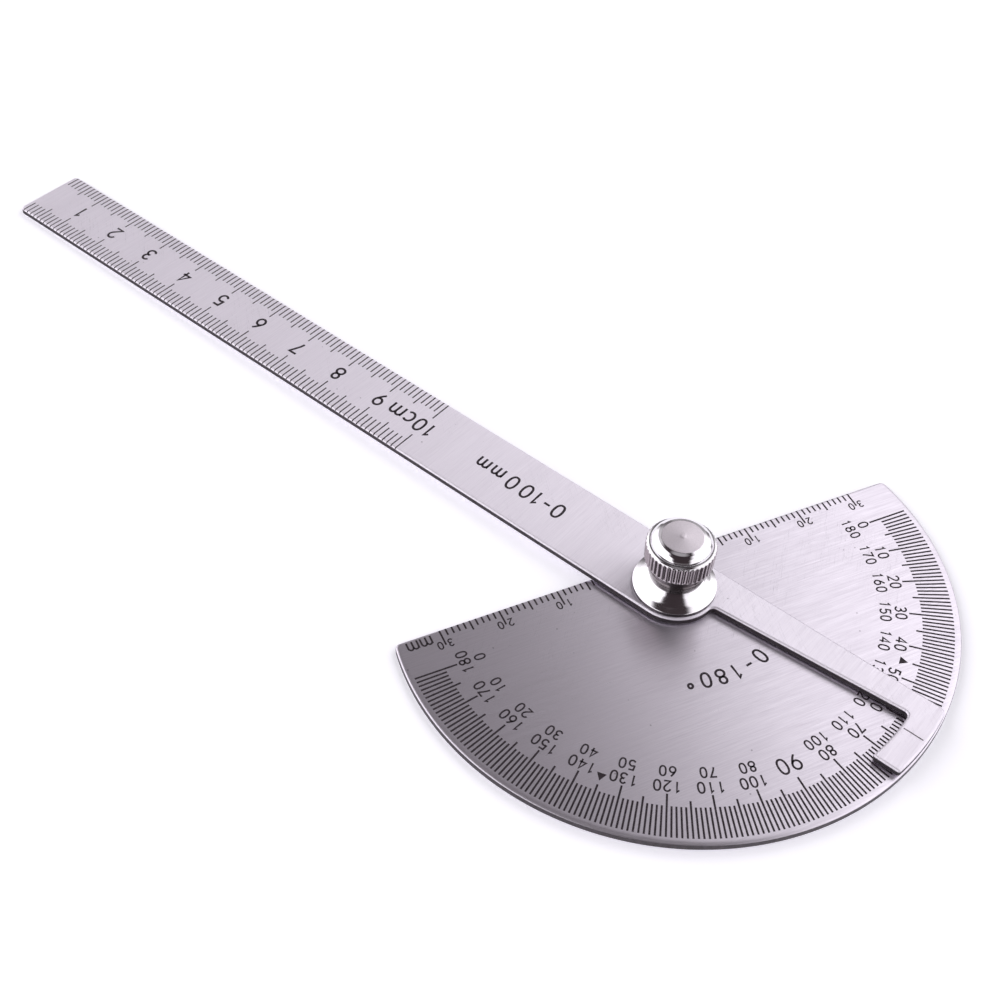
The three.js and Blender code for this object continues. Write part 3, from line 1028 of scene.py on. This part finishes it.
def build_world():
    """A soft white studio: bright panels right and left, a pale backdrop low
    behind, a grey ceiling, and a dark room on the camera's side."""
    world = bpy.data.worlds.new("studio")
    bpy.context.scene.world = world
    m = Nodes(world, "ShaderNodeOutputWorld")
    ray = m.add("ShaderNodeTexCoord").outputs["Generated"]
    x, y, z = m.add("ShaderNodeSeparateXYZ", {0: ray}).outputs

    def toward(azimuth):
        """Cosine between the ray and a level direction, in degrees from +Y to +X."""
        a = math.radians(azimuth)
        return m.math("ADD", m.multiply(x, math.sin(a)), m.multiply(y, math.cos(a)))

    def above(value, low, high):
        return m.spread(value, low, high, smooth=True)

    def below(value, low, high):
        return m.math("SUBTRACT", 1.0, above(value, low, high))

    def brightest(a, b):
        return m.math("MAXIMUM", a, b)

    side = toward(116)                   # the camera's right hand
    away = toward(26)                    # away from the camera
    lift = above(z, 0.05, 0.17)
    right = m.multiply(above(x, *RIGHT_FADE), lift, RIGHT_K)
    front_right = m.multiply(above(side, *SIDE_FADE), lift, FRONT_K)
    left = m.multiply(above(m.multiply(side, -1.0), *SIDE_FADE),
                      m.multiply(lift, below(z, 0.86, 0.94)), LEFT_K)
    # a pale backdrop, brighter in its lower part, with a bright strip low on
    # the left and a darker doorway low to the right of the middle
    wall = m.multiply(above(away, -0.05, 0.35), below(z, 0.8, 0.93), BACK_K)
    lower = m.multiply(above(away, 0.3, 0.6), below(z, 0.64, 0.78), LOW_K)
    wall = brightest(wall, lower)
    strip = m.multiply(above(toward(-32), 0.62, 0.86), below(z, 0.38, 0.52), STRIP_K)
    door = m.multiply(above(toward(37), 0.74, 0.9), below(z, 0.5, 0.62), DOOR_K)
    total = brightest(brightest(right, front_right), brightest(left, brightest(wall, strip)))
    total = m.multiply(total, m.math("SUBTRACT", 1.0, door))
    overhead = m.multiply(above(z, 0.955, 0.995), TOP_K)
    nearby = m.multiply(lift, below(z, 0.48, 0.66), NEAR_K)
    total = brightest(total, brightest(overhead, nearby))
    channels = {i: m.math("ADD", m.multiply(total, TINT[i]), AMBIENT[i]) for i in range(3)}
    studio = m.add("ShaderNodeBackground", {
        "Color": m.add("ShaderNodeCombineColor", channels).outputs[0]})
    # the camera sees plain white past the table
    white = m.add("ShaderNodeBackground", {"Color": (1, 1, 1, 1), "Strength": 1.1})
    camera_ray = m.add("ShaderNodeLightPath").outputs["Is Camera Ray"]
    m.output(m.add("ShaderNodeMixShader", {
        0: camera_ray, 1: studio.outputs[0], 2: white.outputs[0]}))


build_world()


# ---- camera and view ------------------------------------------------------------
CAMERA_PLACE = (-0.089095, -0.118772, 0.180539)          # metres
# where the camera lies as seen from its subject (azimuth from -Y towards +X,
# elevation), and its roll
CAMERA_ANGLES = (-26.061, 47.675, 2.608)


def build_camera():
    scene = bpy.context.scene
    data = bpy.data.cameras.new("camera")
    camera = bpy.data.objects.new("camera", data)
    scene.collection.objects.link(camera)
    azimuth, elevation, roll = (math.radians(a) for a in CAMERA_ANGLES)
    back = Vector((math.sin(azimuth) * math.cos(elevation),
                   -math.cos(azimuth) * math.cos(elevation), math.sin(elevation)))
    level = Vector((0, 0, 1)).cross(back).normalized()
    upright = back.cross(level)
    right = level * math.cos(roll) + upright * math.sin(roll)
    up = upright * math.cos(roll) - level * math.sin(roll)
    rows = [(right[i], up[i], back[i], CAMERA_PLACE[i]) for i in range(3)]
    camera.matrix_world = Matrix((*rows, (0, 0, 0, 1)))
    data.sensor_width = 36.0
    data.lens = 52.787
    data.clip_start, data.clip_end = 0.01, 20.0
    scene.camera = camera


view = bpy.context.scene.view_settings
view.view_transform = "Standard"
view.look = "None"
view.exposure = 0.0
view.gamma = 1.0
build_camera()
